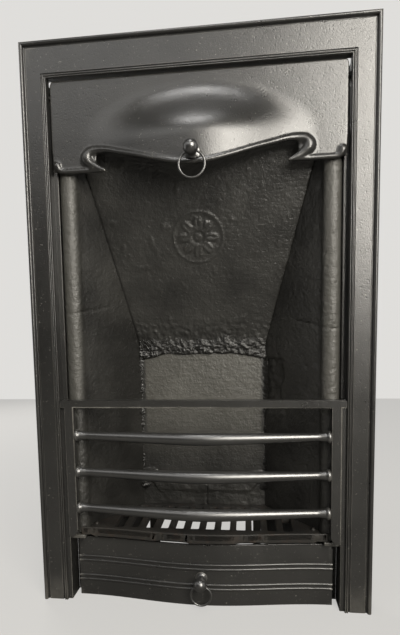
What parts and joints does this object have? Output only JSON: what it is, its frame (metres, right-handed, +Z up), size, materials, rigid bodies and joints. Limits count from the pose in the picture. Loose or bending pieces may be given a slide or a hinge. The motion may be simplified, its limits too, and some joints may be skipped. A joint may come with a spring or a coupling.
{
  "type": "fireplace insert",
  "caption": "Cast-iron bedroom fireplace insert with tilting domed hood, bowed fire bars, lift-out slotted grate, pull-off ash cover and splayed firebricks.",
  "frame": {"origin": "centre of the footprint on the hearth: midway between the sides of the front plate and between the front of the hood's knob and the rear of the brick straps, at floor level", "axes": "+X to the right as seen from the room, +Y into the wall, +Z up"},
  "size_m": [0.58, 0.2628, 0.965],
  "materials": {
    "black_leaded_iron": "satin black over a fine casting grain",
    "polished_black_iron": "satin black rubbed smooth by hands",
    "rough_black_iron": "matt black with a sooty, slightly rusty grain",
    "black_painted_firebrick": "rough fireclay under black stove paint, chipped and pitted",
    "fire_cement": "matt, trowelled and cracked, painted black",
    "strap_iron": "flat bar with matt black paint and some rust",
    "screw_steel": "dull blackened steel"
  },
  "bodies": {
    "root": {"front_frame": "black_leaded_iron", "hood_hook_left": "rough_black_iron", "hood_hook_right": "rough_black_iron", "hood_hook_screw_left": "screw_steel", "hood_hook_screw_right": "screw_steel", "back_brick_lower": "black_painted_firebrick", "back_brick_upper": "black_painted_firebrick", "fire_cement_seam": "fire_cement", "cheek_brick_left": "black_painted_firebrick", "cheek_brick_right": "black_painted_firebrick", "rear_bearer": "rough_black_iron", "brick_strap_lower": "strap_iron", "brick_strap_upper": "strap_iron", "strap_screw_lower_left": "screw_steel", "strap_screw_lower_right": "screw_steel", "strap_screw_upper_left": "screw_steel", "strap_screw_upper_right": "screw_steel"},
    "hood": {"hood_canopy": "black_leaded_iron", "hood_knob": "polished_black_iron", "hood_knob_nut": "screw_steel"},
    "hood_drop_ring": {"hood_ring": "polished_black_iron"},
    "front_bars": {"fire_front": "black_leaded_iron", "fire_bar_top": "polished_black_iron", "fire_bar_middle": "polished_black_iron", "fire_bar_bottom": "polished_black_iron"},
    "grate": {"bottom_grate": "rough_black_iron"},
    "ash_front": {"ash_cover": "black_leaded_iron", "ash_knob": "polished_black_iron", "ash_knob_nut": "screw_steel"},
    "ash_drop_ring": {"ash_ring": "polished_black_iron"}
  },
  "joints": [
    {"name": "hood_tilt", "type": "hinge", "parent": "root", "child": "hood", "pos_m": [0, -0.03885, 0.88], "axis": [-1, 0, 0], "range_deg": [0, 25]},
    {"name": "hood_ring_swing", "type": "hinge", "parent": "hood", "child": "hood_drop_ring", "pos_m": [0, -0.10685, 0.7597], "axis": [-1, 0, 0], "range_deg": [-20, 85]},
    {"name": "fire_front_lift", "type": "slide", "parent": "root", "child": "front_bars", "axis": [0, 0, 1], "range_m": [0, 0.03]},
    {"name": "grate_lift", "type": "slide", "parent": "root", "child": "grate", "axis": [0, 0, 1], "range_m": [0, 0.025]},
    {"name": "ash_cover_pull", "type": "slide", "parent": "root", "child": "ash_front", "axis": [0, -1, 0], "range_m": [0, 0.08]},
    {"name": "ash_ring_swing", "type": "hinge", "parent": "ash_front", "child": "ash_drop_ring", "pos_m": [0, -0.06885, 0.0438], "axis": [-1, 0, 0], "range_deg": [-12, 85]}
  ]
}
